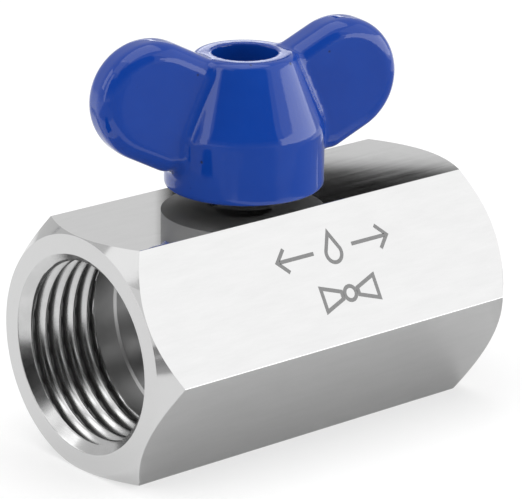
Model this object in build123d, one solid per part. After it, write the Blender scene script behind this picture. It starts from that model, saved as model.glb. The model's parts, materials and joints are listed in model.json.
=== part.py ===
from build123d import *
import os
from math import asin, cos, degrees, radians, sin, sqrt, tan

# Half-inch mini ball valve: hexagon-bar body, two female ports, wing handle on a quarter-turn stem.
#
# Millimetres. The bore runs along X, the stem along +Z. The origin is the middle of the flat that
# the valve stands on. The near port opens towards -X and the far port towards +X.

# ---- driving dimensions -------------------------------------------------------------------
ACROSS_FLATS = 25.0  # hexagon bar
BODY_LENGTH = 47.5
END_FACE_DIAMETER = 24.9  # flat ring left inside the 45 degree corner chamfer
EDGE_BREAK = 0.1  # rounding of the bar's long edges
BLANK_ALLOWANCE = 0.5  # the turning tool's path clears the hexagon's corners by this much

THREAD_MAJOR_DIAMETER = 20.955  # G 1/2 pipe thread
PORT_DEPTH = 12.8
PORT_ROOT_CHAMFER = 0.25

WATERWAY_DIAMETER = 9.2
BALL_DIAMETER = 14.0
BALL_BORE_DIAMETER = 9.0
CHAMBER_DIAMETER = 14.8

STEM_X = -2.2  # the stem stands nearer the near port, as the insert needs room on the far side
HANDLE_ANGLE = -12.5  # wings against the bore at rest, about +Z; 0 is fully open
QUARTER_TURN = 90.0

# ---- derived heights and stations ---------------------------------------------------------
AXIS_Z = ACROSS_FLATS / 2
TOP_Z = ACROSS_FLATS
CORNER_RADIUS = ACROSS_FLATS / sqrt(3)
HALF_LENGTH = BODY_LENGTH / 2
PORT_RADIUS = THREAD_MAJOR_DIAMETER / 2
PORT_FLOOR = HALF_LENGTH - PORT_DEPTH
WATERWAY_RADIUS = WATERWAY_DIAMETER / 2
BALL_RADIUS = BALL_DIAMETER / 2
CHAMBER_RADIUS = CHAMBER_DIAMETER / 2
FIT = 0.05  # clearance between mating turned faces
TOUCH_GAP = 0.02  # left between two faces that touch
OVERCUT = 1.0  # how far a cutting shape reaches past the face it opens

# along X, measured from the stem axis
SEAT_BACK = 7.7
SEAT_FRONT = 4.6
SHOULDER = 6.2
INSERT_FRONT = 7.0
INSERT_RECESS = 0.5  # the insert stops this far below the far port's floor
INSERT_BACK = PORT_FLOOR - STEM_X - INSERT_RECESS

SEAT_RADIUS = 6.8
SEAT_POCKET_RADIUS = 6.85
INSERT_BORE_RADIUS = 9.0  # M18 fine thread
INSERT_SLOT = (2.0, 1.5)  # drive slots: width, depth
INSERT_LEAD = 1.2
INSERT_CHAMFER = 0.4
GASKET_EDGE_GAP = 0.1
SEAT_CHAMFER = 0.3
SEAT_BALL_GAP = 0.03

# stem, from the ball upwards; pairs are lower and upper heights unless they say otherwise
BALL_SLOT = (2.7, 4.9)  # width, floor height above the bore axis
TANG = (2.5, 6.0)  # thickness, width
TANG_FOOT_GAP = 0.15
TANG_FOOT = AXIS_Z + BALL_SLOT[1] + TANG_FOOT_GAP
COLLAR_RADIUS = 4.25
COLLAR = (19.75, 20.55)
COLLAR_POCKET = (4.4, 21.0)  # radius, roof height
STEM_RADIUS = 3.0
STEM_HOLE_RADIUS = 3.1
PACKING_FLOOR = 21.8
PACKING_BOX_RADIUS = 4.8
PACKING_RING = 0.68
VEE_HEIGHT = 0.28
STACK_GAP = 0.04
FOLLOWER_HEIGHT = 0.4
FOLLOWER_FOOT = PACKING_FLOOR + 2 * PACKING_RING + 3 * STACK_GAP
GLAND = (FOLLOWER_FOOT + FOLLOWER_HEIGHT + STACK_GAP, 24.95)
GLAND_BORE_RADIUS = 3.15
GLAND_SLOT = (1.0, 0.6)  # width, depth
GLAND_CHAMFER = 0.3
O_RING = (2.8, 0.32, 24.4)  # middle radius, section radius, height
O_RING_GROOVE = (2.45, 0.72)  # floor radius, width
STEM_SHOULDER = 28.6
STEM_TOP = 33.2
STEM_FLATS = 4.4
STEM_END_CHAMFER = 0.25
SCREW_HOLE = (1.5, 25.8)  # radius, floor height

# stop pin
PIN_RADIUS = 0.75
PIN_PITCH_RADIUS = 6.2
PIN = (22.5, 27.9)
PIN_CHAMFER = 0.2
PIN_CLEARANCE_ANGLE = 1.2

# handle
HUB_FOOT = 26.4
HUB_SHOULDER = 32.9
HUB_TOP = 40.5
HUB_RADIUS = 8.3
HUB_TOP_RADIUS = 5.2
HUB_FOOT_ROUND = 0.5
HUB_SHOULDER_ROUND = 3.5
HUB_TOP_ROUND = 0.8
SKIRT_CAVITY_RADIUS = 5.1
SKIRT_CAVITY_ROOF = 28.65
STOP_SLOT_RADIUS = 7.1
SCREW_WELL_RADIUS = 3.4
SCREW_WELL_FLOOR = 33.6
WING_THICKNESS = 5.0
WING_EDGE_ROUND = 1.9
WING_CENTRE = (10.9, 36.75)  # distance from the stem axis, height
WING_RADIUS = 6.25
WING_SLOPE = 27.0  # upper and lower edges, degrees from level
WING_ROOT_ROUND = 1.1
WING_ROOT_REACH = 1.0  # each wing starts this far from the stem axis, inside the hub
WING_KNEE_REACH = 1.6  # the lower edge turns level this far outside the hub
WING_KNEE_ROUND = 2.0

# handle fastening
WASHER = (1.6, 3.0, 0.5)  # inner radius, outer radius, thickness
SPRING_WASHER = (1.55, 2.85, 0.75)
SPRING_GAP = 0.5
SPRING_CUT_SLANT = 25.0
SCREW_SHANK = (1.45, 7.6)  # radius, length
SCREW_TIP_CHAMFER = 0.3
SCREW_HEAD = (2.8, 2.1)  # radius, height
# the domed head's outline above its seat: share of the height, share of the radius
SCREW_DOME = [(0.0, 1.0), (0.45, 1.0), (0.85, 0.8), (1.0, 0.45)]
CROSS_RECESS = (0.75, 3.4, 1.2)  # slot width, length, depth
CROSS_ANGLE = 20.0


def on_stem(shape, x=0.0):
    """The shape, moved from the bore axis's own frame to the stem's place along X."""
    return Pos(STEM_X + x, 0, 0) * shape


def turned(points, axis_height=None):
    """A body of revolution from (station, radius) points.

    About Z with axis_height None, where a station is a height; otherwise about the X axis at that
    height, where a station runs along X.
    """
    if axis_height is None:
        with BuildPart() as made:
            with BuildSketch(Plane.XZ):
                with BuildLine():
                    Polyline(*[(radius, station) for station, radius in points], close=True)
                make_face()
            revolve(axis=Axis.Z)
        return made.part
    with BuildPart() as made:
        with BuildSketch(Plane.XY):
            with BuildLine():
                Polyline(*points, close=True)
            make_face()
        revolve(axis=Axis.X)
    return Pos(0, 0, axis_height) * made.part


def bore_cylinder(radius, start, end):
    """A cylinder on the bore axis between two stations along X."""
    middle = (start + end) / 2
    return Pos(middle, 0, AXIS_Z) * Rot(0, 90, 0) * Cylinder(radius, abs(end - start))


def stem_cylinder(radius, low, high):
    """A cylinder on the stem axis between two heights."""
    return Pos(STEM_X, 0, (low + high) / 2) * Cylinder(radius, high - low)


def at_handle(shape):
    """The shape, modelled with the wings along X about Z, put on the stem at the rest angle."""
    return Pos(STEM_X, 0, 0) * Rot(0, 0, HANDLE_ANGLE) * shape


# ---- body ---------------------------------------------------------------------------------
def hexagon_bar():
    """The bar with broken edges and both ends turned to a 45 degree corner chamfer."""
    outline = Rot(0, 90, 0) * RegularPolygon(CORNER_RADIUS, 6, rotation=30)
    outline = fillet(outline.vertices(), EDGE_BREAK)
    bar = extrude(outline, HALF_LENGTH, dir=(1, 0, 0), both=True)
    blank_radius = CORNER_RADIUS + BLANK_ALLOWANCE
    blank = chamfer(Cylinder(blank_radius, BODY_LENGTH).edges().filter_by(GeomType.CIRCLE),
                    blank_radius - END_FACE_DIAMETER / 2)
    return Pos(0, 0, AXIS_Z) * (bar & (Rot(0, 90, 0) * blank))


def port(side):
    """The cavity of a threaded port at the thread's major diameter; side is -1 near, +1 far."""
    floor_radius = PORT_RADIUS - PORT_ROOT_CHAMFER
    points = [(side * PORT_FLOOR, 0), (side * PORT_FLOOR, floor_radius),
              (side * (PORT_FLOOR + PORT_ROOT_CHAMFER), PORT_RADIUS),
              (side * (HALF_LENGTH + OVERCUT), PORT_RADIUS), (side * (HALF_LENGTH + OVERCUT), 0)]
    return turned(points, AXIS_Z)


def make_body():
    body = hexagon_bar() - port(-1) - port(1)
    above = TOP_Z + OVERCUT
    body -= bore_cylinder(WATERWAY_RADIUS, -PORT_FLOOR - OVERCUT, STEM_X)
    body -= bore_cylinder(CHAMBER_RADIUS, STEM_X - SEAT_BACK, STEM_X + SHOULDER + OVERCUT)
    body -= bore_cylinder(INSERT_BORE_RADIUS, STEM_X + SHOULDER, PORT_FLOOR + OVERCUT)
    body -= stem_cylinder(COLLAR_POCKET[0], AXIS_Z, COLLAR_POCKET[1])
    body -= stem_cylinder(STEM_HOLE_RADIUS, AXIS_Z, above)
    body -= stem_cylinder(PACKING_BOX_RADIUS, PACKING_FLOOR, above)
    pin_hole = Cylinder(PIN_RADIUS + TOUCH_GAP, above - PIN[0])
    return body - Pos(STEM_X + PIN_PITCH_RADIUS, 0, (PIN[0] + above) / 2) * pin_hole


# ---- far-side insert, seats and ball ------------------------------------------------------
def make_body_insert():
    """The screwed retainer that shuts the ball chamber, with two drive slots in its outer face."""
    radius = INSERT_BORE_RADIUS - FIT
    points = [(INSERT_FRONT, SEAT_POCKET_RADIUS), (INSERT_FRONT, radius),
              (INSERT_BACK - INSERT_CHAMFER, radius), (INSERT_BACK, radius - INSERT_CHAMFER),
              (INSERT_BACK, WATERWAY_RADIUS + INSERT_LEAD),
              (INSERT_BACK - INSERT_LEAD, WATERWAY_RADIUS),
              (SEAT_BACK + TOUCH_GAP, WATERWAY_RADIUS),
              (SEAT_BACK + TOUCH_GAP, SEAT_POCKET_RADIUS)]
    insert = on_stem(turned(points, AXIS_Z))
    width, depth = INSERT_SLOT
    slot = Pos(INSERT_BACK - depth / 2, 0, AXIS_Z) * Box(depth, width, 3 * radius)
    return insert - on_stem(slot)


def make_insert_gasket():
    """PTFE ring squeezed between the body's shoulder and the insert."""
    inner, outer = CHAMBER_RADIUS + FIT, INSERT_BORE_RADIUS - GASKET_EDGE_GAP
    start, end = SHOULDER + TOUCH_GAP, INSERT_FRONT - TOUCH_GAP
    return on_stem(turned([(start, inner), (end, inner), (end, outer), (start, outer)], AXIS_Z))


def make_seat(side):
    """A PTFE seat ring with a spherical face against the ball; side is -1 near, +1 far."""
    ring = turned([(-SEAT_BACK, WATERWAY_RADIUS), (-SEAT_FRONT, WATERWAY_RADIUS),
                   (-SEAT_FRONT, SEAT_RADIUS), (-SEAT_BACK + SEAT_CHAMFER, SEAT_RADIUS),
                   (-SEAT_BACK, SEAT_RADIUS - SEAT_CHAMFER)], AXIS_Z)
    ring -= Pos(0, 0, AXIS_Z) * Sphere(BALL_RADIUS + SEAT_BALL_GAP)
    return on_stem(ring if side < 0 else Rot(0, 0, 180) * ring)


def make_ball():
    """The drilled ball, with a drive slot across its bore."""
    ball = Sphere(BALL_RADIUS) - Rot(0, 90, 0) * Cylinder(BALL_BORE_DIAMETER / 2, 3 * BALL_RADIUS)
    width, floor = BALL_SLOT
    ball -= Pos(0, 0, floor + BALL_RADIUS / 2) * Box(width, 3 * BALL_RADIUS, BALL_RADIUS)
    return at_handle(Pos(0, 0, AXIS_Z) * ball)


# ---- stem and its seals -------------------------------------------------------------------
def make_stem():
    """Blow-out-proof stem: tang, collar, shank, two drive flats and a tapped end."""
    tang = Pos(0, 0, (TANG_FOOT + COLLAR[0]) / 2) * Box(TANG[0], TANG[1], COLLAR[0] - TANG_FOOT)
    collar = Pos(0, 0, sum(COLLAR) / 2) * Cylinder(COLLAR_RADIUS, COLLAR[1] - COLLAR[0])
    shank = Pos(0, 0, (COLLAR[1] + STEM_SHOULDER) / 2)
    shank = shank * Cylinder(STEM_RADIUS, STEM_SHOULDER - COLLAR[1])
    drive_length = STEM_TOP - STEM_SHOULDER
    drive = Cylinder(STEM_RADIUS, drive_length) & Box(3 * STEM_RADIUS, STEM_FLATS, drive_length)
    drive = chamfer(drive.faces().sort_by(Axis.Z)[-1].edges(), STEM_END_CHAMFER)
    stem = tang + collar + shank + Pos(0, 0, (STEM_SHOULDER + STEM_TOP) / 2) * drive
    radius, floor = SCREW_HOLE
    above = STEM_TOP + OVERCUT
    stem -= Pos(0, 0, (floor + above) / 2) * Cylinder(radius, above - floor)
    groove_radius, groove_width = O_RING_GROOVE
    groove = Cylinder(STEM_RADIUS + OVERCUT, groove_width) - Cylinder(groove_radius, groove_width)
    return at_handle(stem - Pos(0, 0, O_RING[2]) * groove)


def make_stem_o_ring():
    """Weather seal in the stem's groove, inside the gland nut."""
    middle_radius, section_radius, height = O_RING
    return on_stem(Pos(0, 0, height) * Torus(middle_radius, section_radius))


def make_thrust_washer():
    """PTFE ring between the stem's collar and the roof of its pocket."""
    low, high = COLLAR[1] + STACK_GAP, COLLAR_POCKET[1] - STACK_GAP
    inner = STEM_RADIUS + FIT
    return on_stem(turned([(low, inner), (low, COLLAR_RADIUS), (high, COLLAR_RADIUS),
                           (high, inner)]))


def make_packing(level):
    """A PTFE packing ring: a vee in the top of the lower one, which the upper one fills."""
    low = PACKING_FLOOR + STACK_GAP + level * (PACKING_RING + STACK_GAP)
    high = low + PACKING_RING
    inner, outer = STEM_RADIUS + FIT, PACKING_BOX_RADIUS - FIT
    middle = (inner + outer) / 2
    if level == 0:
        points = [(low, inner), (low, outer), (high, outer), (high - VEE_HEIGHT, middle),
                  (high, inner)]
    else:
        points = [(low, inner), (low - VEE_HEIGHT, middle), (low, outer), (high, outer),
                  (high, inner)]
    return on_stem(turned(points))


def make_packing_follower():
    """Flat metal ring between the packing and the gland nut."""
    low, high = FOLLOWER_FOOT, FOLLOWER_FOOT + FOLLOWER_HEIGHT
    inner, outer = STEM_RADIUS + 2 * FIT, PACKING_BOX_RADIUS - FIT
    return on_stem(turned([(low, inner), (low, outer), (high, outer), (high, inner)]))


def make_gland_nut():
    """Threaded ring that presses the packing down, with two spanner slots."""
    low, high = GLAND
    outer = PACKING_BOX_RADIUS - FIT
    nut = turned([(low, GLAND_BORE_RADIUS), (low, outer), (high - GLAND_CHAMFER, outer),
                  (high, outer - GLAND_CHAMFER), (high, GLAND_BORE_RADIUS)])
    width, depth = GLAND_SLOT
    nut -= Pos(0, 0, high - depth / 2) * Box(3 * outer, width, depth)
    return on_stem(nut)


def make_stop_pin():
    """The pin pressed in the body's top that stops the handle at both ends of its turn."""
    low, high = PIN[0] + TOUCH_GAP, PIN[1]
    pin = turned([(low, 0), (low, PIN_RADIUS), (high - PIN_CHAMFER, PIN_RADIUS),
                  (high, PIN_RADIUS - PIN_CHAMFER), (high, 0)])
    return on_stem(pin, PIN_PITCH_RADIUS)


# ---- handle -------------------------------------------------------------------------------
def hub_blank():
    """The hub's outside: a short cylinder that narrows as a cone to the flat top."""
    outside = [(0, HUB_FOOT), (HUB_RADIUS, HUB_FOOT), (HUB_RADIUS, HUB_SHOULDER),
               (HUB_TOP_RADIUS, HUB_TOP), (0, HUB_TOP)]
    with BuildPart() as hub:
        with BuildSketch(Plane.XZ):
            with BuildLine():
                FilletPolyline(*outside, radius=(HUB_FOOT_ROUND, HUB_SHOULDER_ROUND, HUB_TOP_ROUND))
                Line(outside[-1], outside[0])
            make_face()
        revolve(axis=Axis.Z)
    return hub.part


def wing_blank():
    """One wing: a round ear with straight edges that run down to the hub, edges rounded."""
    slope = radians(WING_SLOPE)
    centre_u, centre_z = WING_CENTRE
    upper = (centre_u - WING_RADIUS * sin(slope), centre_z + WING_RADIUS * cos(slope))
    lower = (centre_u + WING_RADIUS * sin(slope), centre_z - WING_RADIUS * cos(slope))
    root_u = WING_ROOT_REACH
    upper_root = (root_u, upper[1] - (upper[0] - root_u) * tan(slope))
    knee_u = HUB_RADIUS + WING_KNEE_REACH
    knee = (knee_u, lower[1] - (lower[0] - knee_u) * tan(slope))
    with BuildPart() as wing:
        with BuildSketch(Plane.XZ) as outline:
            with BuildLine():
                Line(upper_root, upper)
                ThreePointArc(upper, (centre_u + WING_RADIUS, centre_z), lower)
                Line(lower, knee)
                Line(knee, (root_u, knee[1]))
                Line((root_u, knee[1]), upper_root)
            make_face()
            at_knee = outline.vertices().sort_by_distance((knee[0], 0, knee[1]))[0]
            fillet(at_knee, WING_KNEE_ROUND)
        extrude(amount=WING_THICKNESS / 2, both=True)
        rim = wing.faces().filter_by(Axis.Y).edges().filter_by(
            lambda edge: edge.center().X > root_u + 0.1)
        fillet(rim, WING_EDGE_ROUND)
    return wing.part


def stop_slot():
    """The arc under the skirt that the stop pin travels in, with a little room past each stop."""
    reach = degrees(asin(PIN_RADIUS / PIN_PITCH_RADIUS)) + PIN_CLEARANCE_ANGLE
    start = -reach
    sweep = QUARTER_TURN + 2 * reach
    with BuildPart() as slot:
        with BuildSketch(Plane.XY.offset(HUB_FOOT - OVERCUT)):
            with BuildLine():
                CenterArc((0, 0), STOP_SLOT_RADIUS, start, sweep)
                Line((0, 0), (STOP_SLOT_RADIUS * cos(radians(start)),
                              STOP_SLOT_RADIUS * sin(radians(start))))
                Line((0, 0), (STOP_SLOT_RADIUS * cos(radians(start + sweep)),
                              STOP_SLOT_RADIUS * sin(radians(start + sweep))))
            make_face()
        extrude(amount=SKIRT_CAVITY_ROOF - HUB_FOOT + OVERCUT)
    return slot.part


def make_handle():
    """Hub and two wings in one casting, with its skirt cavity, drive hole and screw well."""
    handle = hub_blank() + wing_blank() + Rot(0, 0, 180) * wing_blank()
    wing_face = WING_THICKNESS / 2
    root = handle.edges().filter_by(
        lambda edge: abs(abs(edge.center().Y) - wing_face) < 0.02
        and abs(edge.center().X) < HUB_RADIUS + 0.1 and edge.length > 1.5)
    handle = fillet(root, WING_ROOT_ROUND)
    low = HUB_FOOT - OVERCUT
    handle -= Pos(0, 0, (low + SKIRT_CAVITY_ROOF) / 2) * Cylinder(
        SKIRT_CAVITY_RADIUS, SKIRT_CAVITY_ROOF - low)
    handle -= stop_slot()
    drive_length = SCREW_WELL_FLOOR - SKIRT_CAVITY_ROOF + OVERCUT
    drive = Cylinder(STEM_RADIUS + FIT, drive_length) & Box(
        3 * STEM_RADIUS, STEM_FLATS + 2 * FIT, drive_length)
    handle -= Pos(0, 0, (SKIRT_CAVITY_ROOF + SCREW_WELL_FLOOR) / 2) * drive
    above = HUB_TOP + OVERCUT
    handle -= Pos(0, 0, (SCREW_WELL_FLOOR + above) / 2) * Cylinder(
        SCREW_WELL_RADIUS, above - SCREW_WELL_FLOOR)
    return at_handle(handle)


def make_handle_washer():
    """Flat washer on the floor of the screw well."""
    inner, outer, thickness = WASHER
    low = SCREW_WELL_FLOOR + TOUCH_GAP / 2
    return on_stem(turned([(low, inner), (low, outer), (low + thickness, outer),
                           (low + thickness, inner)]))


def make_spring_washer():
    """A split lock washer, shown closed up flat with its gap."""
    inner, outer, thickness = SPRING_WASHER
    low = SCREW_WELL_FLOOR + WASHER[2] + TOUCH_GAP
    ring = turned([(low, inner), (low, outer), (low + thickness, outer), (low + thickness, inner)])
    gap = Pos((inner + outer) / 2, 0, low + thickness / 2) * Rot(SPRING_CUT_SLANT, 0, 0)
    return on_stem(ring - gap * Box(outer, SPRING_GAP, 3 * thickness))


def make_handle_screw():
    """Pan-head screw with a cross recess."""
    shank_radius, shank_length = SCREW_SHANK
    head_radius, head_height = SCREW_HEAD
    seat = SCREW_WELL_FLOOR + WASHER[2] + SPRING_WASHER[2] + 2 * TOUCH_GAP
    foot = seat - shank_length
    top = seat + head_height
    shank = [(foot, 0), (foot, shank_radius - SCREW_TIP_CHAMFER),
             (foot + SCREW_TIP_CHAMFER, shank_radius), (seat, shank_radius)]
    dome = [(seat + head_height * up, head_radius * out) for up, out in SCREW_DOME]
    screw = turned(shank + dome + [(top, 0)])
    width, length, depth = CROSS_RECESS
    for angle in (CROSS_ANGLE, CROSS_ANGLE + 90):
        arm = Pos(0, 0, top - depth + (depth + OVERCUT) / 2) * Rot(0, 0, angle)
        screw -= arm * Box(length, width, depth + OVERCUT)
    return on_stem(screw)


PIECES = {
    "body": make_body,
    "body_insert": make_body_insert,
    "insert_gasket": make_insert_gasket,
    "seat_near": lambda: make_seat(-1),
    "seat_far": lambda: make_seat(1),
    "ball": make_ball,
    "stem": make_stem,
    "stem_o_ring": make_stem_o_ring,
    "thrust_washer": make_thrust_washer,
    "packing_lower": lambda: make_packing(0),
    "packing_upper": lambda: make_packing(1),
    "packing_follower": make_packing_follower,
    "gland_nut": make_gland_nut,
    "stop_pin": make_stop_pin,
    "handle": make_handle,
    "handle_washer": make_handle_washer,
    "spring_washer": make_spring_washer,
    "handle_screw": make_handle_screw,
}


def main():
    os.makedirs("parts", exist_ok=True)
    for name, make in PIECES.items():
        export_step(make(), f"parts/{name}.step")


main()
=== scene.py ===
import json
from math import cos, pi, radians, sin

import bmesh
import bpy
import numpy as np
from mathutils import Matrix, Vector


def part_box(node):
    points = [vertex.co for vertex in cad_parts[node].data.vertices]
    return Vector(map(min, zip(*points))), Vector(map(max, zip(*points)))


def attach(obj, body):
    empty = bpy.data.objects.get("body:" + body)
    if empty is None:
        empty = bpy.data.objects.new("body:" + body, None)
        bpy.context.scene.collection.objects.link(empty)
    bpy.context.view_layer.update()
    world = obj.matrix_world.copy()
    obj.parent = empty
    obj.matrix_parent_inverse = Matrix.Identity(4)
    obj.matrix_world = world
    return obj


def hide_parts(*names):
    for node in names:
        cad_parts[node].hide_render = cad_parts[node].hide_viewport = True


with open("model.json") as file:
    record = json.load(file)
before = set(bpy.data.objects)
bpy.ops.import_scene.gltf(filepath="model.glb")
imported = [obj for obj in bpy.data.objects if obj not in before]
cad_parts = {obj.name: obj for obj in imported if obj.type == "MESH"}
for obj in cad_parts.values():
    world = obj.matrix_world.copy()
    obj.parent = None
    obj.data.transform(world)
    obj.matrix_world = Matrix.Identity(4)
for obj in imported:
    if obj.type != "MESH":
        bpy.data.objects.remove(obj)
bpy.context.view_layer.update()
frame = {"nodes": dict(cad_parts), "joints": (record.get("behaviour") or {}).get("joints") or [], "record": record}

MM = 0.001
CAMERA_AZIMUTH = -40.75  # degrees from the front (-Y) towards +X; the studio is laid out from it

# ---- what the frame says ------------------------------------------------------------------
nodes = frame["nodes"]
mounts = {mount["name"]: mount for mount in frame["record"]["mounts"]}
handle_joint = next(joint for joint in frame["joints"] if joint["name"] == "handle_turn")
body_low, body_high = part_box("body")
NEAR_FACE_X = body_low[0]
FAR_FACE_X = body_high[0]  # the near face is just as far from X = 0, on the other side
STAND_LEVEL = body_low[2]
ACROSS_FLATS = body_high[2] - STAND_LEVEL
HALF_FLATS = ACROSS_FLATS / 2
AXIS_Z = mounts["port_near"]["pos_m"][2]
STEM_X = handle_joint["pos_m"][0]
PORT_RADIUS = mounts["port_near"]["dims"]["r_mm"] * MM
PORT_LENGTH = mounts["port_near"]["dims"]["length_mm"] * MM
STATIC_BODY = "valve_body"
HANDLE_BODY = "handle_assembly"


# ---- small helpers ------------------------------------------------------------------------
def add_object(name, mesh):
    """A new object for the mesh, in the row's own frame."""
    made = bpy.data.objects.new(name, mesh)
    bpy.context.scene.collection.objects.link(made)
    return made


def smooth_with_edges(mesh, degrees):
    """Smooth shading, with a crisp edge wherever two faces meet at more than the angle."""
    mesh.shade_smooth()
    mesh.set_sharp_from_angle(angle=radians(degrees))


def outward(mesh):
    """Turns every face of a closed mesh to look outward."""
    work = bmesh.new()
    work.from_mesh(mesh)
    bmesh.ops.recalc_face_normals(work, faces=work.faces)
    work.to_mesh(mesh)
    work.free()


class Nodes:
    """A short way to write a material's node tree."""

    def __init__(self, name):
        self.material = bpy.data.materials.new(name)
        self.material.use_nodes = True
        self.tree = self.material.node_tree
        self.shader = next(n for n in self.tree.nodes if n.type == "BSDF_PRINCIPLED")

    def add(self, kind, inputs=None, **settings):
        node = self.tree.nodes.new(kind)
        for key, value in settings.items():
            setattr(node, key, value)
        for key, value in (inputs or {}).items():
            self.feed(node.inputs[key], value)
        return node

    def feed(self, socket, value):
        if isinstance(value, bpy.types.NodeSocket):
            self.tree.links.new(value, socket)
        else:
            socket.default_value = value

    def set(self, **values):
        """Shader inputs by name, with underscores for spaces."""
        for key, value in values.items():
            self.feed(self.shader.inputs[key.replace("_", " ")], value)

    def place(self, scale=(1, 1, 1)):
        """The piece's own coordinates, scaled by axis."""
        spot = self.add("ShaderNodeTexCoord").outputs["Object"]
        return self.add("ShaderNodeMapping", {"Vector": spot, "Scale": scale}).outputs[0]

    def axes(self, vector=None):
        """The X, Y and Z of a vector, or of the piece's own coordinates."""
        if vector is None:
            vector = self.add("ShaderNodeTexCoord").outputs["Object"]
        return self.add("ShaderNodeSeparateXYZ", {"Vector": vector}).outputs

    def noise(self, place, scale, detail=3.0, roughness=0.5):
        made = self.add("ShaderNodeTexNoise", {
            "Vector": place, "Scale": scale, "Detail": detail, "Roughness": roughness})
        return made.outputs["Fac"]

    def math(self, operation, first, second=0.0):
        return self.add("ShaderNodeMath", {0: first, 1: second}, operation=operation).outputs[0]

    def remap(self, value, low, high, to_low, to_high):
        """The value on a straight ramp from one range to another, held level beyond its ends."""
        made = self.add("ShaderNodeMapRange", {
            "Value": value, "From Min": low, "From Max": high, "To Min": to_low, "To Max": to_high})
        return made.outputs[0]

    # The Mix node has its own pair of inputs for each kind of value, told apart by their index.
    def mix_value(self, amount, first, second):
        return self.add("ShaderNodeMix", {0: amount, 2: first, 3: second}).outputs[0]

    def mix_colour(self, amount, first, second):
        made = self.add("ShaderNodeMix", {0: amount, 6: first, 7: second}, data_type="RGBA")
        return made.outputs[2]

    def bump(self, height, distance, strength=1.0, normal=None):
        inputs = {"Height": height, "Distance": distance, "Strength": strength}
        if normal is not None:
            inputs["Normal"] = normal
        return self.add("ShaderNodeBump", inputs).outputs[0]


def grey(value):
    return (value, value, value, 1.0)


# ---- threads ------------------------------------------------------------------------------
PITCH = 1.814 * MM
CREST_RADIUS = 9.45 * MM
ROOT_GAP = 0.015 * MM  # keeps the deepest line of the groove off the port's own wall
SLEEVE_BITE = 0.05 * MM  # how far the sleeve's back is sunk in the port's wall
ROOT_RADIUS = PORT_RADIUS - ROOT_GAP
SLEEVE_OUTER_RADIUS = PORT_RADIUS + SLEEVE_BITE
ROOT_SHARE = 0.12  # of half a pitch is flat at the root
CREST_ROUNDING = 1.5  # 1 is a sharp crest, more is rounder
COUNTERSINK_SLOPE = 1.05  # loss of radius by depth
LEAD_IN = (0.7 * MM, 1.4 * MM)  # depths between which the groove grows to its full depth
THREADED_DEPTH = 10.0 * MM  # by here the bore has opened, at 45 degrees, into a plain relief
MOUTH_INSET = 0.02 * MM  # of the sleeve's front edge, behind the port's face
TURN_SEGMENTS = 300
SAMPLES_PER_PITCH = 28
THREAD_CREASE = 50  # degrees between two faces that meet in a crisp edge


def thread_radii(x, depth, angle):
    """The wall's radius at each point of a right-hand internal thread with a countersunk mouth."""
    turn = np.mod(x / PITCH - angle / (2 * pi), 1.0)
    from_root = 1.0 - 2.0 * np.abs(turn - 0.5)
    groove = np.minimum((1.0 - from_root) / (1.0 - ROOT_SHARE), 1.0) ** CREST_ROUNDING
    groove = groove * np.clip((depth - LEAD_IN[0]) / (LEAD_IN[1] - LEAD_IN[0]), 0.0, 1.0)
    wall = CREST_RADIUS + groove * (ROOT_RADIUS - CREST_RADIUS)
    countersink = ROOT_RADIUS - depth * COUNTERSINK_SLOPE
    relief = ROOT_RADIUS - np.maximum(THREADED_DEPTH - depth, 0.0)
    return np.minimum(np.maximum(np.maximum(wall, countersink), relief), ROOT_RADIUS)


def make_thread(name, mount):
    """A closed sleeve against the port's wall, with the thread cut in its inner face."""
    side = mount["axis"][0]
    mouth_x = mount["pos_m"][0]
    steps = int(SAMPLES_PER_PITCH * PORT_LENGTH / PITCH)
    depth = np.linspace(MOUTH_INSET, PORT_LENGTH, steps)[:, None]
    angle = np.linspace(0, 2 * pi, TURN_SEGMENTS, endpoint=False)[None, :]
    x = mouth_x - side * depth + np.zeros_like(angle)
    radius = thread_radii(x, depth, angle)
    outer = np.full((2, TURN_SEGMENTS), SLEEVE_OUTER_RADIUS)
    x = np.vstack([x, x[-1:], x[:1]])
    radius = np.vstack([radius, outer])
    angle = angle + np.zeros_like(x)
    points = np.stack([x, radius * np.cos(angle), AXIS_Z + radius * np.sin(angle)], axis=-1)
    rows = len(x)
    faces = []
    for row in range(rows):
        below = (row + 1) % rows * TURN_SEGMENTS
        here = row * TURN_SEGMENTS
        for column in range(TURN_SEGMENTS):
            after = (column + 1) % TURN_SEGMENTS
            faces.append((here + column, here + after, below + after, below + column))
    mesh = bpy.data.meshes.new(name)
    mesh.from_pydata(points.reshape(-1, 3).tolist(), [], faces)
    outward(mesh)
    smooth_with_edges(mesh, THREAD_CREASE)
    made = add_object(name, mesh)
    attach(made, STATIC_BODY)
    return made


# ---- handle -------------------------------------------------------------------------------
CASTING_VOXEL = 0.16 * MM
SMOOTHING_STEPS = 6
SMOOTHING_STRENGTH = 0.5


def make_handle():
    """The casting under its thick coat: the CAD handle with every corner softened."""
    rough = add_object("handle_rough", nodes["handle"].data.copy())
    remesh = rough.modifiers.new("voxels", "REMESH")
    remesh.mode = "VOXEL"
    remesh.voxel_size = CASTING_VOXEL
    relax = rough.modifiers.new("relax", "SMOOTH")
    relax.factor = SMOOTHING_STRENGTH
    relax.iterations = SMOOTHING_STEPS
    depsgraph = bpy.context.evaluated_depsgraph_get()
    mesh = bpy.data.meshes.new_from_object(rough.evaluated_get(depsgraph))
    bpy.data.objects.remove(rough)
    mesh.name = "handle_casting"
    mesh.materials.clear()
    mesh.shade_smooth()
    made = add_object("handle_casting", mesh)
    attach(made, HANDLE_BODY)
    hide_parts("handle")
    return made


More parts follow.
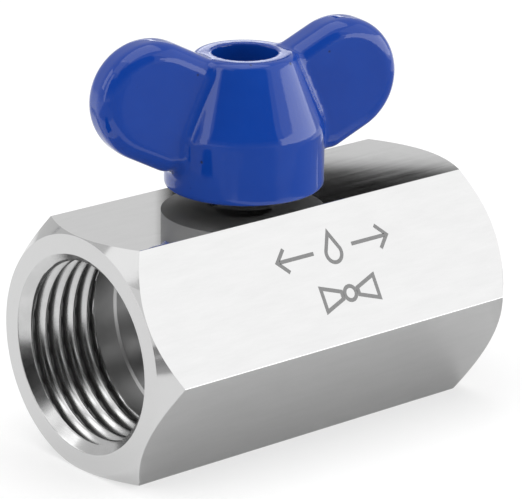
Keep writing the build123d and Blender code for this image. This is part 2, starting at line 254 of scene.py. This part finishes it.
# ---- etched marks -------------------------------------------------------------------------
MARK_PROUD = 0.012 * MM  # above the flat
MARK_SUNK = 0.03 * MM  # below it
STROKE = 0.42 * MM
MITRE_LIMIT = 0.35  # a sharper corner's mitre is cut short
FLAT_LEAN = radians(30)  # how far the front upper flat leans back from upright


def on_upper_flat(x, down, lift):
    """A point on the front upper flat: along the bore, down from its top edge, off the metal."""
    top_edge = Vector((x, -HALF_FLATS * np.tan(FLAT_LEAN), ACROSS_FLATS))
    slope = Vector((0, -sin(FLAT_LEAN), -cos(FLAT_LEAN)))
    normal = Vector((0, -cos(FLAT_LEAN), sin(FLAT_LEAN)))
    return top_edge + slope * down + normal * lift


def stroke_outline(points, closed):
    """Left and right edges of a stroke of constant width along the points, with mitred corners."""
    points = [Vector(p) for p in points]
    count = len(points)
    sides = []
    for index, point in enumerate(points):
        before = points[index - 1] if closed or index else None
        after = points[(index + 1) % count] if closed or index < count - 1 else None
        into = (point - before).normalized() if before is not None else None
        out = (after - point).normalized() if after is not None else None
        into = into or out
        out = out or into
        across = Vector((-into.y - out.y, into.x + out.x)).normalized()
        reach = STROKE / 2 / max(across.dot(Vector((-out.y, out.x))), MITRE_LIMIT)
        sides.append((point + across * reach, point - across * reach))
    return sides


def add_stroke(work, points, closed=False):
    """A thin closed bar along the points, in (along, down) coordinates of the upper flat."""
    sides = stroke_outline(points, closed)
    rings = []
    for left, right in sides:
        rings.append([work.verts.new(on_upper_flat(p.x, p.y, lift))
                      for p, lift in ((left, MARK_PROUD), (right, MARK_PROUD),
                                      (right, -MARK_SUNK), (left, -MARK_SUNK))])
    count = len(rings)
    for index in range(count if closed else count - 1):
        here, after = rings[index], rings[(index + 1) % count]
        for corner in range(4):
            following = (corner + 1) % 4
            work.faces.new((here[corner], here[following], after[following], after[corner]))
    if not closed:
        work.faces.new(rings[0])
        work.faces.new(list(reversed(rings[-1])))


def arc_points(centre, radius, start, end, count):
    """Points along an arc, angles in degrees, in the flat's own (along, down) coordinates."""
    step = (end - start) / (count - 1)
    return [(centre[0] + radius * cos(radians(start + step * i)),
             centre[1] + radius * sin(radians(start + step * i))) for i in range(count)]


def finish_mark(name, work):
    """Makes a mark's mesh into a piece that rides on the body."""
    mesh = bpy.data.meshes.new(name)
    bmesh.ops.recalc_face_normals(work, faces=work.faces)
    work.to_mesh(mesh)
    work.free()
    made = add_object(name, mesh)
    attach(made, STATIC_BODY)
    return made


def make_flow_mark():
    """Water drop between two arrows: water may flow either way."""
    work = bmesh.new()
    middle, level = 1.7 * MM, 4.7 * MM
    drop_radius, drop_hang, drop_tip = 1.0 * MM, 0.45 * MM, 1.75 * MM
    tail_reach, tip_reach, barb = 2.6 * MM, 7.5 * MM, 1.25 * MM
    shaft_gap = 0.75 * STROKE  # between the shaft's end and the arrow's tip, which the barbs fill
    drop = arc_points((middle, level + drop_hang), drop_radius, start=-35, end=215, count=22)
    add_stroke(work, drop + [(middle, level - drop_tip)], closed=True)
    for side in (-1, 1):
        tail, tip = middle + side * tail_reach, middle + side * tip_reach
        add_stroke(work, [(tail, level), (tip - side * shaft_gap, level)])
        add_stroke(work, [(tip - side * barb, level - barb), (tip, level),
                          (tip - side * barb, level + barb)])
    return finish_mark("etched_flow_mark", work)


def make_valve_mark():
    """The drawing symbol of a ball valve: two triangles that point at a circle."""
    work = bmesh.new()
    middle, level = 2.1 * MM, 9.6 * MM
    radius, reach, rise = 0.75 * MM, 3.6 * MM, 1.25 * MM
    clearance = 0.85 * STROKE  # between the circle's line and the triangles' points
    add_stroke(work, arc_points((middle, level), radius, start=0, end=345, count=24), closed=True)
    for side in (-1, 1):
        near = middle + side * (radius + clearance)
        far = middle + side * reach
        slim = rise * (near - middle) / (far - middle)
        outline = [(near, level - slim), (far, level - rise), (far, level + rise),
                   (near, level + slim)]
        add_stroke(work, outline if side > 0 else outline[::-1], closed=True)
    return finish_mark("etched_valve_mark", work)


# ---- materials ----------------------------------------------------------------------------
# Noise scales are in cycles per metre of the piece, bump distances in metres of relief.
END_FACING = (0.2, 0.4)  # from flat to end, by how much of the normal lies along the bore
INNER_FACES = (4 * MM, 3 * MM)  # depths in the port between which an end face counts as inner: rougher, and painted darker as shade
GROOVE_SHADE = (0.45, 0.85)  # share of the groove's depth over which its steel is painted darker, as painted shade in the groove
SHADED_MOUTH = (1.1 * MM, 0.9 * MM)  # depths between which the painted shade in the groove begins
SHADED_END = (THREADED_DEPTH, 9.4 * MM)  # and between which it stops


def bore_radius(made):
    """The distance from the bore axis."""
    spot = made.axes()
    up = made.math("SUBTRACT", spot[2], AXIS_Z)
    squares = made.math("ADD", made.math("MULTIPLY", spot[1], spot[1]), made.math("MULTIPLY", up, up))
    return made.math("SQRT", squares)


def off_middle(made):
    """The distance from the middle of the bore's length."""
    return made.math("ABSOLUTE", made.axes()[0])


def turned_lines(made, per_metre):
    """Fine rings about the bore axis, as a value from 0 to 1."""
    line = made.add("ShaderNodeCombineXYZ", {0: bore_radius(made), 1: made.axes()[0]}).outputs[0]
    return made.noise(line, per_metre, detail=4.0, roughness=0.6)


def body_steel():
    """Polished bar: faint draw lines along the flats, turned rings on the ends, a few smudges, and painted shade
    on the port floors.
    """
    made = Nodes("polished_steel")
    drawn = made.noise(made.place((25, 1400, 1400)), 1.0, detail=4.0, roughness=0.6)
    rings = turned_lines(made, 5200)
    facing = made.axes(made.add("ShaderNodeNewGeometry").outputs["True Normal"])[0]
    on_end = made.remap(made.math("ABSOLUTE", facing), *END_FACING, 0.0, 1.0)
    port_floor_dull_and_shaded = made.remap(off_middle(made), *(FAR_FACE_X - depth for depth in INNER_FACES), 1.0, 0.0)
    relief = made.mix_value(on_end, drawn, rings)

    smudge = made.noise(made.place(), 160, detail=3.0, roughness=0.6)
    rough = made.remap(smudge, 0.45, 0.75, 0.032, 0.042)
    rough = made.math("ADD", rough, made.remap(relief, 0.3, 0.7, -0.005, 0.005))
    rough = made.math("ADD", rough, made.math("MULTIPLY", on_end, 0.08))
    rough = made.math("ADD", rough, made.math("MULTIPLY", port_floor_dull_and_shaded, made.math("MULTIPLY", on_end, 0.2)))

    cloud = made.noise(made.place((60, 300, 300)), 3.0, detail=4.0, roughness=0.65)
    flat_colour = made.mix_colour(made.remap(cloud, 0.3, 0.75, 0.0, 1.0), grey(0.81), grey(0.77))
    # painted shade: the end faces deep in the ports are a darker grey than the outer ends
    end_colour = made.mix_colour(port_floor_dull_and_shaded, grey(0.60), grey(0.55))
    wave = made.bump(made.noise(made.place(), 150, detail=1.0, roughness=0.4), 0.0001 * MM)
    made.set(Base_Color=made.mix_colour(on_end, flat_colour, end_colour), Metallic=1.0,
             Roughness=rough, Normal=made.bump(relief, 0.00015 * MM, normal=wave))
    return made.material


def thread_steel():
    """Turned thread: fine tool lines, blotches, and dull grooves in the threaded stretch, darkened with painted
    shade.
    """
    made = Nodes("cut_thread_steel")
    rings = turned_lines(made, 9000)
    blot = made.noise(made.place(), 420, detail=3.0, roughness=0.6)
    depth = made.remap(bore_radius(made), CREST_RADIUS, ROOT_RADIUS, 0.0, 1.0)
    from_middle = off_middle(made)
    behind_mouth = made.remap(from_middle, *(FAR_FACE_X - d for d in SHADED_MOUTH), 1.0, 0.0)
    before_relief = made.remap(from_middle, *(FAR_FACE_X - d for d in SHADED_END), 0.0, 1.0)
    threaded = made.math("MULTIPLY", behind_mouth, before_relief)
    # painted shade: the grooves' steel goes dark grey towards their roots, standing in for the shade in them
    groove_painted_shade = made.math("MULTIPLY", made.remap(depth, *GROOVE_SHADE, 0.0, 1.0), threaded)
    colour = made.mix_colour(blot, grey(0.64), grey(0.50))
    rough = made.math("ADD", made.remap(blot, 0.3, 0.7, 0.17, 0.25), made.math("MULTIPLY", groove_painted_shade, 0.15))
    made.set(Base_Color=made.mix_colour(groove_painted_shade, colour, grey(0.22)), Metallic=1.0,
             Roughness=rough, Normal=made.bump(rings, 0.0012 * MM))
    return made.material


def etched_grey():
    """Laser-etched lines: dull and grainy."""
    made = Nodes("etched_grey")
    grain = made.noise(made.place(), 9000, detail=2.0, roughness=0.6)
    made.set(Base_Color=made.mix_colour(grain, grey(0.19), grey(0.27)), Metallic=0.3,
             Roughness=made.remap(grain, 0.3, 0.7, 0.5, 0.7),
             Normal=made.bump(grain, 0.004 * MM))
    return made.material


def blue_coat():
    """Glossy blue coat: slight swell, uneven depth of colour, specks and pinholes."""
    made = Nodes("blue_coat")
    peel = made.noise(made.place(), 900, detail=2.0)
    swell = made.noise(made.place(), 170, detail=2.0)
    depth = made.remap(made.noise(made.place(), 120, roughness=0.55), 0.3, 0.7, 0.0, 1.0)
    colour = made.mix_colour(depth, (0.0030, 0.040, 0.285, 1), (0.0045, 0.049, 0.325, 1))
    speck = made.add("ShaderNodeTexVoronoi", {"Vector": made.place(), "Scale": 330.0,
                                              "Randomness": 1.0}).outputs["Distance"]
    pit = made.remap(speck, 0.045, 0.075, 1.0, 0.0)
    colour = made.mix_colour(pit, colour, (0.004, 0.012, 0.07, 1))
    height = made.math("ADD", made.math("MULTIPLY", peel, 0.12), swell)
    height = made.math("SUBTRACT", height, made.math("MULTIPLY", pit, 0.8))
    made.set(Base_Color=colour, Roughness=made.remap(peel, 0.3, 0.7, 0.05, 0.09), IOR=1.48,
             Normal=made.bump(height, 0.03 * MM, strength=0.6))
    return made.material


def plain_steel(name, light, dark, roughness):
    """Turned inner parts and fasteners."""
    made = Nodes(name)
    blot = made.noise(made.place(), 700, roughness=0.6)
    lines = made.noise(made.place((900, 900, 6000)), 1.0, roughness=0.6)
    made.set(Base_Color=made.mix_colour(blot, grey(light), grey(dark)), Metallic=1.0,
             Roughness=made.remap(blot, 0.3, 0.7, roughness - 0.05, roughness + 0.07),
             Normal=made.bump(lines, 0.002 * MM))
    return made.material


def ptfe():
    """White seals: waxy and faintly cloudy."""
    made = Nodes("ptfe")
    cloud = made.noise(made.place(), 500)
    made.set(Base_Color=made.mix_colour(cloud, (0.86, 0.86, 0.83, 1), (0.78, 0.78, 0.75, 1)),
             Roughness=made.remap(cloud, 0.3, 0.7, 0.42, 0.55), Normal=made.bump(cloud, 0.01 * MM),
             Subsurface_Weight=0.15, Subsurface_Radius=(1 * MM, 1 * MM, 1 * MM))
    return made.material


def seal_rubber():
    """Black rubber with a fine dull grain."""
    made = Nodes("seal_rubber")
    grain = made.noise(made.place(), 3000)
    made.set(Base_Color=made.mix_colour(grain, grey(0.015), grey(0.03)),
             Roughness=made.remap(grain, 0.3, 0.7, 0.5, 0.65), Normal=made.bump(grain, 0.01 * MM))
    return made.material


def paint_cad_nodes():
    """Gives every CAD node the finish of its slot in the record."""
    finishes = {
        "body_steel": body_steel(),
        "handle_coating": blue_coat(),
        "inner_steel": plain_steel("turned_steel", light=0.72, dark=0.62, roughness=0.22),
        "ball_steel": plain_steel("ball_mirror", light=0.84, dark=0.80, roughness=0.09),
        "ptfe": ptfe(),
        "seal_rubber": seal_rubber(),
        "fastener_steel": plain_steel("fastener_steel", light=0.66, dark=0.52, roughness=0.27),
    }
    for part in frame["record"]["subparts"]:
        mesh = nodes[part["node"]].data
        mesh.materials.clear()
        mesh.materials.append(finishes[part["material_slot"]])
    return finishes


# ---- studio -------------------------------------------------------------------------------
# Lights and cards stand round the valve. A heading is in degrees to the right of the camera's own
# side as the valve sees it, and an elevation is in degrees above the floor. Distances are in metres.
# Cards show only in reflections, as painted reflections that light and shade nothing, and shades are from 0
# (black) to 1 (white).
STUDIO_AIM = (0, 0, 0.02)  # the point that they all face
WORLD_GREY = 0.70
FLOOR_SIZE = 6.0
FLOOR_GAP = 0.02 * MM  # under the body, so that the two faces don't flicker
FLOOR_SHADE = 0.50
FLOOR_GLOW = 0.5
DARK = 0.01
PALE = 0.35  # a fading card's foot
CARD_GAP = 0.05 * MM  # between a card and the face that it lies on
CARD_LAYER = 0.1 * MM  # between cards that lie over each other on the floor


def stand_at(heading, elevation, distance):
    """The place and rotation of something that faces the valve from that direction."""
    around, above = radians(CAMERA_AZIMUTH + heading), radians(elevation)
    away = Vector((sin(around) * cos(above), -cos(around) * cos(above), sin(above)))
    spot = Vector(STUDIO_AIM) + away * distance
    return Matrix.Translation(spot) @ away.to_track_quat("Z", "Y").to_matrix().to_4x4()


def add_softbox(name, heading, elevation, distance, size, radiance):
    """A rectangular soft light of the given size (across, up) and brightness."""
    light = bpy.data.lights.new(name, "AREA")
    light.shape = "RECTANGLE"
    light.size, light.size_y = size
    light.energy = radiance * pi * light.size * light.size_y
    made = bpy.data.objects.new(name, light)
    made.matrix_world = stand_at(heading, elevation, distance)
    bpy.context.scene.collection.objects.link(made)


def thin_out(made, clearness):
    """Makes a card's material let rays through where the value is 1."""
    choice = made.add("ShaderNodeMixShader", {0: clearness})
    output = next(node for node in made.tree.nodes if node.type == "OUTPUT_MATERIAL")
    shaded = output.inputs["Surface"].links[0].from_socket
    made.feed(choice.inputs[1], shaded)
    made.feed(choice.inputs[2], made.add("ShaderNodeBsdfTransparent").outputs[0])
    made.feed(output.inputs["Surface"], choice.outputs[0])


def show_front_only(made):
    """Lets rays that come from behind a card through it."""
    thin_out(made, made.add("ShaderNodeNewGeometry").outputs["Backfacing"])


def add_card(name, corners, shade=DARK, fade=None, faces=None, cover=None):
    """A card of the given shade, which may go from pale to that shade between two heights.

    Cover is 1 at the corners where the card is solid and 0 where it has thinned out to nothing.
    """
    mesh = bpy.data.meshes.new(name)
    mesh.from_pydata(corners, [], faces or [tuple(range(len(corners)))])
    card = add_object(name, mesh)
    made = Nodes(name)
    made.set(Base_Color=grey(shade), Roughness=1.0, Specular_IOR_Level=0.0)
    if cover:
        mesh.attributes.new("cover", "FLOAT", "POINT").data.foreach_set("value", cover)
        solid = made.add("ShaderNodeAttribute", attribute_name="cover").outputs["Fac"]
        thin_out(made, made.math("SUBTRACT", 1.0, solid))
    if fade:
        darkness = made.remap(made.axes()[2], *fade, 0.0, 1.0)
        made.set(Base_Color=made.mix_colour(darkness, grey(PALE), grey(shade)))
    mesh.materials.append(made.material)
    card.visible_camera = False
    card.visible_diffuse = False
    card.visible_shadow = False
    card.visible_transmission = False
    return made


def soft_edged(low, high, soft):
    """Corners, faces and cover of a rectangle whose border of the given width thins out."""
    (x0, y0), (x1, y1), (across, up) = low, high, soft
    outer = [(x0, y0), (x1, y0), (x1, y1), (x0, y1)]
    inner = [(x0 + across, y0 + up), (x1 - across, y0 + up),
             (x1 - across, y1 - up), (x0 + across, y1 - up)]
    border = [(i, (i + 1) % 4, 4 + (i + 1) % 4, 4 + i) for i in range(4)]
    return outer + inner, border + [(4, 5, 6, 7)], [0.0] * 4 + [1.0] * 4


def add_standing_card(name, headings, elevations, distance, shade, fade_elevation):
    """A card that the valve sees between two headings and two elevations, pale at its foot."""
    (left, right), (low, high) = headings, elevations
    corners = [stand_at(heading, elevation, distance).translation
               for heading, elevation in ((left, low), (right, low), (right, high), (left, high))]
    fade = [stand_at(left, elevation, distance).translation.z for elevation in (low, fade_elevation)]
    add_card(name, [tuple(corner) for corner in corners], shade, fade)


def add_backdrop_card(name, headings, elevations, distance, soft):
    """A dark standing card with soft edges; soft is in degrees across and up."""
    corners, faces, cover = soft_edged((headings[0], elevations[0]), (headings[1], elevations[1]), soft)
    places = [tuple(stand_at(heading, elevation, distance).translation)
              for heading, elevation in corners]
    add_card(name, places, faces=faces, cover=cover)


def add_floor_card(name, low, high, shade, soft=(0.0, 0.0), layer=1):
    """A card that lies on the floor between two corners; a higher layer lies over a lower one."""
    level = STAND_LEVEL + layer * CARD_LAYER
    corners, faces, cover = soft_edged(low, high, soft)
    places = [(x, y, level) for x, y in corners]
    if any(soft):
        add_card(name, places, shade, faces=faces, cover=cover)
    else:
        add_card(name, places[:4], shade)


def add_port_card():
    """A card that stands before the near port and darkens the middle of what the bore reflects."""
    plane_x = NEAR_FACE_X - 21 * MM
    outline = [(10, 3), (-9, 9), (-9, 14), (-4, 24), (2, 24), (10, 12)]
    add_card("card_port", [(plane_x, across * MM, up * MM) for across, up in outline])


def add_hub_card():
    """A dark cup round the hub's foot, seen only from outside: a painted shade under the hub, which the body's top
    reflects.
    """
    height, radius, count = 7 * MM, 8.6 * MM, 64
    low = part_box("handle")[0][2] - CARD_GAP
    around = [2 * pi * step / count for step in range(count)]
    ring = [(STEM_X + radius * cos(turn), radius * sin(turn)) for turn in around]
    points = [(x, y, z) for z in (low, low + height) for x, y in ring]
    walls = [(i, (i + 1) % count, count + (i + 1) % count, count + i) for i in range(count)]
    base = tuple(reversed(range(count)))
    show_front_only(add_card("card_hub_painted_shade", points, 0.27, faces=walls + [base]))


def add_top_card():
    """A grey card over the top flat, seen only from above: a painted reflection of the top flat in the hub, which
    keeps the hub's foot plain.
    """
    level, half_width, reach = ACROSS_FLATS + CARD_GAP, 7.2 * MM, 23.5 * MM
    corners = [(-reach, -half_width, level), (reach, -half_width, level),
               (reach, half_width, level), (-reach, half_width, level)]
    show_front_only(add_card("card_top", corners, 0.3))


def add_side_card():
    """A small card beside the near end's upper corner, for the hub's left side to mirror."""
    plane_x = NEAR_FACE_X - 0.3 * MM
    outline = [(13, 16), (40, 16), (40, 29), (13, 29)]
    add_card("card_side", [(plane_x, across * MM, up * MM) for across, up in outline], 0.5)


def add_chamfer_card():
    """A glowing card before the near end, seen only from below: a painted highlight, glowing only in reflections,
    which the corner chamfers mirror.
    """
    level, glow = 23.2 * MM, 0.95
    outline = [(-25, -14), (-66, -46), (-66, -30), (-46, -18), (-25, -8)]
    made = add_card("card_chamfer", [(x * MM, y * MM, level) for x, y in outline])
    made.set(Emission_Color=grey(1.0), Emission_Strength=glow)
    show_front_only(made)


def make_floor():
    """A wide white floor that glows a little, like a light table."""
    half = FLOOR_SIZE / 2
    corners = [(-half, -half, 0), (half, -half, 0), (half, half, 0), (-half, half, 0)]
    mesh = bpy.data.meshes.new("floor")
    mesh.from_pydata(corners, [], [(0, 1, 2, 3)])
    floor = add_object("floor", mesh)
    floor.location.z = STAND_LEVEL - FLOOR_GAP
    made = Nodes("floor_white")
    made.set(Base_Color=grey(FLOOR_SHADE), Roughness=0.9, Specular_IOR_Level=0.1,
             Emission_Color=grey(1.0), Emission_Strength=FLOOR_GLOW)
    mesh.materials.append(made.material)


def make_surroundings():
    """Even grey light from everywhere that no lamp or card stands."""
    world = bpy.data.worlds.new("studio")
    world.use_nodes = True
    world.node_tree.nodes["Background"].inputs["Color"].default_value = grey(WORLD_GREY)
    bpy.context.scene.world = world


def add_softboxes():
    """The lamps, each with its heading, elevation, distance, size (across, up) and radiance."""
    add_softbox("softbox_overhead", 0, 90, 0.9, (0.9, 0.9), 1.3)
    add_softbox("softbox_right_low", 90, 9, 0.6, (0.85, 0.24), 2.2)
    add_softbox("softbox_right_high", 88, 36, 0.6, (0.6, 0.34), 0.42)
    add_softbox("softbox_left", -59, 20, 0.6, (0.125, 0.45), 1.35)
    add_softbox("softbox_left_high", -57, 54, 0.6, (0.35, 0.24), 0.6)
    add_softbox("softbox_far_left", -88, 27, 0.6, (0.2, 0.3), 1.6)
    add_softbox("softbox_back", 180, 14, 8.0, (3.0, 0.42), 2.1)


def add_cards():
    """Cards round the valve, by heading and elevation, then on the floor, by X and Y in metres."""
    add_standing_card("card_front", (-25, 50), (0, 44), 0.7, shade=0.08, fade_elevation=16)
    add_standing_card("card_front_left", (-50, -25), (4, 33), 0.7, shade=0.08, fade_elevation=18)
    add_backdrop_card("card_back", (174, 181.95), (17.07, 23), 8.0, soft=(0.35, 0.12))
    add_port_card()
    add_hub_card()
    add_top_card()
    add_side_card()
    add_chamfer_card()
    # painted shadow: card_under is a grey card on the floor under the body's overhang, which the front lower flat
    # mirrors as the shade there
    add_floor_card("card_under", (-0.022, -0.0155), (0.034, -0.0072), 0.56)
    add_floor_card("card_before", (-0.75, -0.80), (0.30, -0.080), 0.45)
    add_floor_card("card_before_left", (-0.75, -0.80), (0.012, -0.056), 0.28,
                   soft=(0.012, 0.006), layer=2)
    add_floor_card("card_left", (-0.75, -0.10), (-0.074, 0.080), 0.38, soft=(0.004, 0.012), layer=3)
    add_floor_card("card_right", (0.03, -0.09), (0.16, 0.02), 0.33, soft=(0.012, 0.008), layer=2)


def make_studio():
    """Everything that lights the valve or shows in it, with plain colours in the picture."""
    make_surroundings()
    add_softboxes()
    add_cards()
    make_floor()
    view = bpy.context.scene.view_settings
    view.view_transform = "Standard"
    view.look = "None"


# ---- camera -------------------------------------------------------------------------------
CAMERA_ELEVATION = 18.57  # degrees
CAMERA_ROLL = 0.61  # degrees
CAMERA_DISTANCE = 0.3608
CAMERA_AIM = (1.365 * MM, 1.293 * MM, 18.068 * MM)
LENS = 236.5  # millimetres, as is the sensor's width
SENSOR_WIDTH = 36.0


def make_camera():
    """The camera at the photo's viewing angle."""
    around, above, roll = (radians(v) for v in (CAMERA_AZIMUTH, CAMERA_ELEVATION, CAMERA_ROLL))
    back = Vector((sin(around) * cos(above), -cos(around) * cos(above), sin(above)))
    level = Vector((cos(around), sin(around), 0))
    upright = back.cross(level)
    right = level * cos(roll) + upright * sin(roll)
    up = upright * cos(roll) - level * sin(roll)
    data = bpy.data.cameras.new("camera")
    data.lens = LENS
    data.sensor_width = SENSOR_WIDTH
    camera = bpy.data.objects.new("camera", data)
    bpy.context.scene.collection.objects.link(camera)
    place = Matrix.Translation(Vector(CAMERA_AIM) + back * CAMERA_DISTANCE)
    camera.matrix_world = place @ Matrix((right, up, back)).transposed().to_4x4()
    bpy.context.scene.camera = camera


# ---- the scene ----------------------------------------------------------------------------
make_camera()
finishes = paint_cad_nodes()
thread_finish = thread_steel()
mark_finish = etched_grey()
for port in ("port_near", "port_far"):
    make_thread(port.replace("port", "thread"), mounts[port]).data.materials.append(thread_finish)
for mark in (make_flow_mark(), make_valve_mark()):
    mark.data.materials.append(mark_finish)
make_handle().data.materials.append(finishes["handle_coating"])
for name in ("stem", "stop_pin"):  # the dark cup round the hub's foot, a painted shade, stands in for their reflections
    nodes[name].visible_glossy = False
make_studio()
